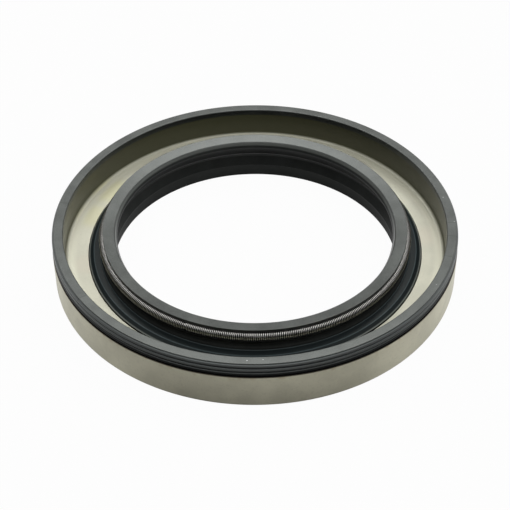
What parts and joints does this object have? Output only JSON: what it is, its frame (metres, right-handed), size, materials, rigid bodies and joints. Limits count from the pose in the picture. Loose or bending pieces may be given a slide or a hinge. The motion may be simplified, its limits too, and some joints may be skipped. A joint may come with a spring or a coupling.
{
  "type": "oil seal",
  "caption": "Ring-shaped rotary shaft seal: folded sheet-steel case, ribbed rubber rim over its fold, and a rubber sealing lip held by a garter spring, with a dust lip below.",
  "frame": {"origin": "on the shaft's axis, in the plane of the bottom edge of the steel band", "axes": "+Z along the shaft's axis towards the oil side, where the lip's spring is; +X and +Y across it"},
  "size_m": [0.1, 0.1, 0.013],
  "materials": {
    "case_steel": "satin sheet steel with a thin beige protective film",
    "rim_rubber": "matte moulded rubber, dark grey",
    "lip_rubber": "matte moulded rubber, dark grey",
    "spring_steel": "bright drawn spring wire"
  },
  "bodies": {
    "root": {"steel_case": "case_steel", "ribbed_rim": "rim_rubber", "sealing_lip": "lip_rubber", "garter_spring": "spring_steel"}
  },
  "joints": []
}
